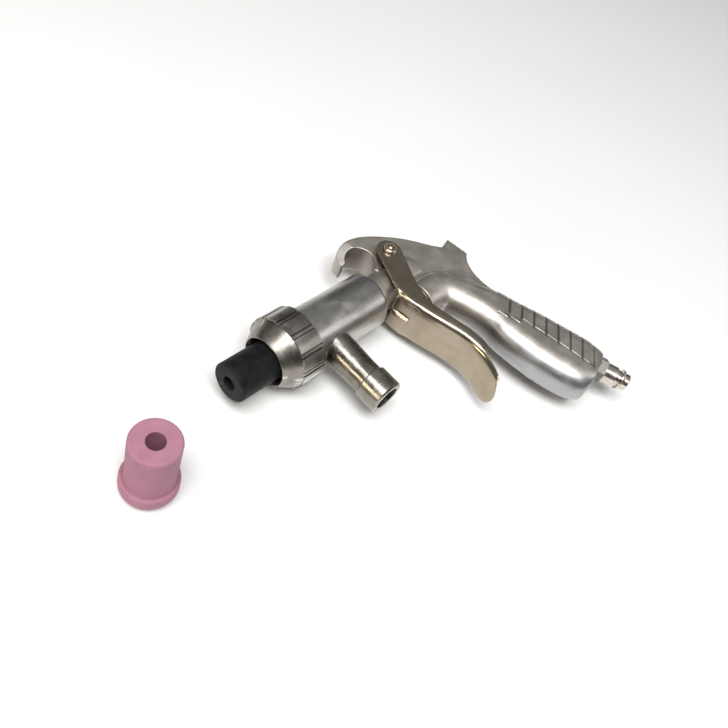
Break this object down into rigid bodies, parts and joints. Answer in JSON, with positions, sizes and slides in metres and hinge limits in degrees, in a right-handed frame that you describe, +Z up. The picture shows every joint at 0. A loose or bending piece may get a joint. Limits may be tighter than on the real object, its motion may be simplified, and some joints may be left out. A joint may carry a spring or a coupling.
{
  "type": "sandblasting gun",
  "caption": "Suction-feed sandblasting gun with hanging hook, sprung trigger, clamped blast nozzle, side hose tube and air plug, with a spare ceramic nozzle beside it.",
  "frame": {"origin": "centre of the footprint, on the surface that the gun lies on", "axes": "+Z up, square to the gun's own mid-plane (it lies on its side); the blast nozzle points along -X, the hanging hook is towards +Y and the grip runs towards -Y"},
  "size_m": [0.2547, 0.1596, 0.0405],
  "materials": {
    "cast_aluminium": "satin",
    "machined_aluminium": "satin",
    "machined_aluminium_nut": "satin",
    "zinc_plated_steel": "rough",
    "turned_steel": "satin",
    "black_rubber": "matt",
    "black_carbide": "matt",
    "brass_fittings": "satin",
    "nickel_fittings": "polished",
    "nickel_trigger": "polished",
    "white_ptfe": "matt",
    "spring_steel": "satin",
    "pink_ceramic": "matt"
  },
  "bodies": {
    "gun": {"gun_body": "cast_aluminium", "mixing_head": "machined_aluminium", "suction_tube": "zinc_plated_steel", "barrel_tube": "turned_steel", "air_jet": "turned_steel", "head_o_ring": "black_rubber", "blast_nozzle": "black_carbide", "nozzle_gasket": "black_rubber", "valve_gland": "brass_fittings", "stem_o_ring": "black_rubber", "valve_cap": "nickel_fittings", "cap_o_ring": "black_rubber", "inlet_plug": "nickel_fittings", "inlet_seal": "white_ptfe", "pivot_pin": "nickel_fittings", "pivot_ring": "nickel_fittings"},
    "nut": {"nozzle_nut": "machined_aluminium_nut"},
    "trigger": {"trigger_lever": "nickel_trigger"},
    "valve": {"valve_stem": "turned_steel", "valve_seal": "black_rubber", "valve_poppet": "brass_fittings", "valve_spring": "spring_steel"},
    "spare": {"spare_nozzle": "pink_ceramic"}
  },
  "joints": [
    {"name": "trigger_pivot", "type": "hinge", "parent": "gun", "child": "trigger", "pos_m": [0.0579, 0.0591, 0.0194], "axis": [0, 0, 1], "range_deg": [0, 10], "stiffness_Nm_per_rad": 1.2, "springref_deg": -6.88},
    {"name": "valve_stroke", "type": "slide", "parent": "gun", "child": "valve", "axis": [0.9833, 0.1822, 0], "range_m": [0, 0.0056], "deforming": ["valve_spring"]},
    {"name": "nut_turn", "type": "hinge", "parent": "gun", "child": "nut", "pos_m": [-0.0261, 0.0468, 0.0194], "axis": [1, 0, 0], "range_deg": [-90, 90]},
    {"name": "spare_lift", "type": "slide", "parent": "gun", "child": "spare", "axis": [0, 0, 1], "range_m": [0, 0.1]}
  ],
  "couplings": [
    {"joint": "valve_stroke", "follows": "trigger_pivot", "m_per_rad": 0.032}
  ]
}
